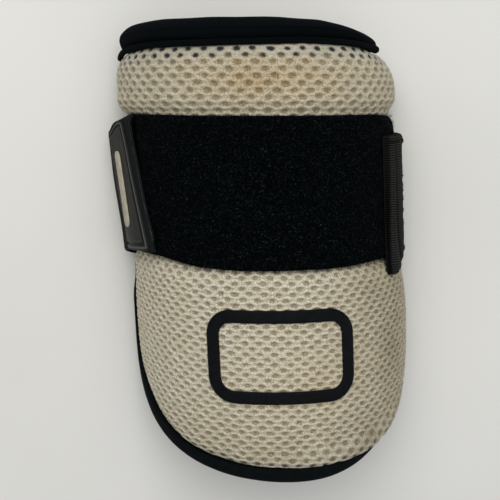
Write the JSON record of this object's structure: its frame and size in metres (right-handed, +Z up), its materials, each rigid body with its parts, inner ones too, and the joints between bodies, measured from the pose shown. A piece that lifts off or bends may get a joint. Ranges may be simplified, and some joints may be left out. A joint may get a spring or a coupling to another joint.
{
  "type": "elbow guard",
  "caption": "Arched padded elbow guard with a mesh-covered shell, rounded lower end, padded collar roll and one wide elastic strap closed by a rubber pull tab.",
  "frame": {"origin": "on the supporting surface, under the middle of the whole guard", "axes": "+Y along the guard to the collar roll at the upper end, +X to the strap's sewn end, +Z up out of the padded face"},
  "size_m": [0.1242, 0.1756, 0.0614],
  "materials": {
    "cream_mesh": "knitted spacer mesh, cream strands over tan openings",
    "black_foam": "matte black foam with a stretch fabric face",
    "black_knit": "matte black knit",
    "loop_fabric": "brushed black loop pile",
    "elastic_webbing": "ribbed black elastic webbing",
    "tab_rubber": "satin moulded rubber",
    "cream_print": "raised cream print",
    "black_print": "raised black transfer print"
  },
  "bodies": {
    "root": {"cover_pad": "cream_mesh", "base_pad": "black_foam", "rim": "black_foam", "collar_roll": "black_knit", "piping": "black_knit", "front_band": "loop_fabric", "elastic_strap": "elastic_webbing", "pull_tab": "tab_rubber", "tab_mark": "cream_print", "front_mark": "black_print"}
  },
  "joints": []
}
